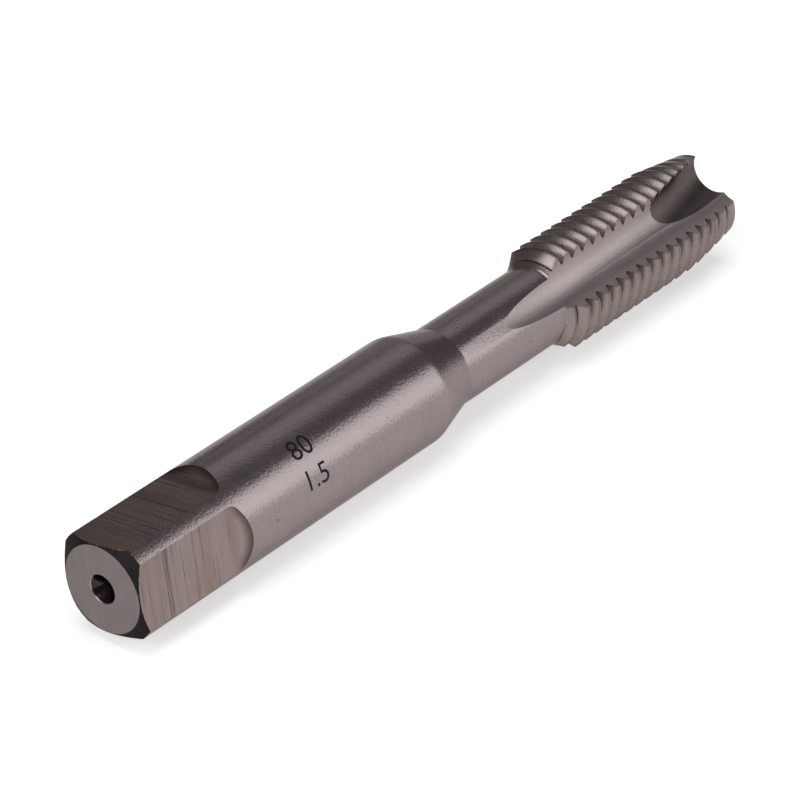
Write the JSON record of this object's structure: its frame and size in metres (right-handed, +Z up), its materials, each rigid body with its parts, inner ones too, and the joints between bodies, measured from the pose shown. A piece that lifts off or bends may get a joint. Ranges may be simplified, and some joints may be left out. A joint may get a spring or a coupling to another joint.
{
  "type": "thread tap",
  "caption": "Spiral point machine tap: ground steel rod with a square drive end, round shank, waisted neck and a fluted cutting thread that cuts an internal metric thread",
  "frame": {"origin": "on the ground plane under the middle of the tap's length, with the tap lying on its shank", "axes": "+X runs along the tap's axis from the square drive end to the cutting end, +Z is up, +Y is across"},
  "size_m": [0.08, 0.01, 0.01],
  "materials": {
    "steel": "satin, ground"
  },
  "bodies": {
    "root": {"tap": "steel"}
  },
  "joints": []
}
